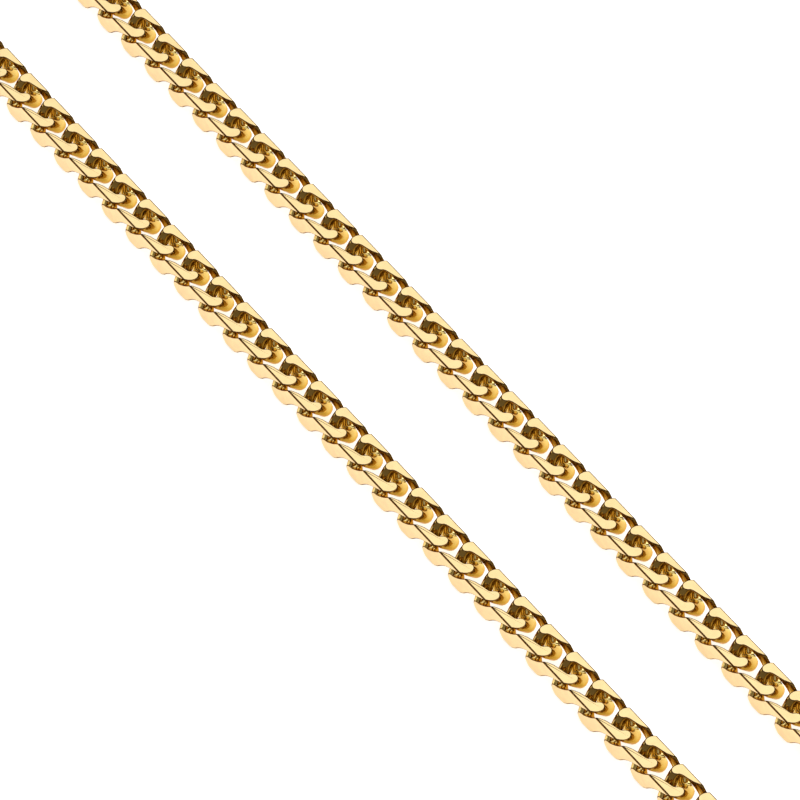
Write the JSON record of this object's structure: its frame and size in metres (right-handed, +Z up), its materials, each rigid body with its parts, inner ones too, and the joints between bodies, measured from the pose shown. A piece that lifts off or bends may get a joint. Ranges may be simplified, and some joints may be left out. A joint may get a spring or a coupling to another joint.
{
  "type": "gold foxtail chain necklace",
  "caption": "Closed necklace of diamond-cut square chain: twisted interlocking rings cut flat on four sides, joined by a plain closed clasp.",
  "frame": {"origin": "middle of the loop's outline, on the surface that the chain lies on", "axes": "+X along the two straight runs, away from the clasp; +Y across the runs; +Z up from the surface"},
  "size_m": [0.2455, 0.0542, 0.0042],
  "materials": {
    "chain_gold": "polished yellow gold",
    "clasp_gold": "polished yellow gold"
  },
  "bodies": {
    "root": {"chain_left": "chain_gold", "chain_right": "chain_gold", "clasp": "clasp_gold"}
  },
  "joints": []
}
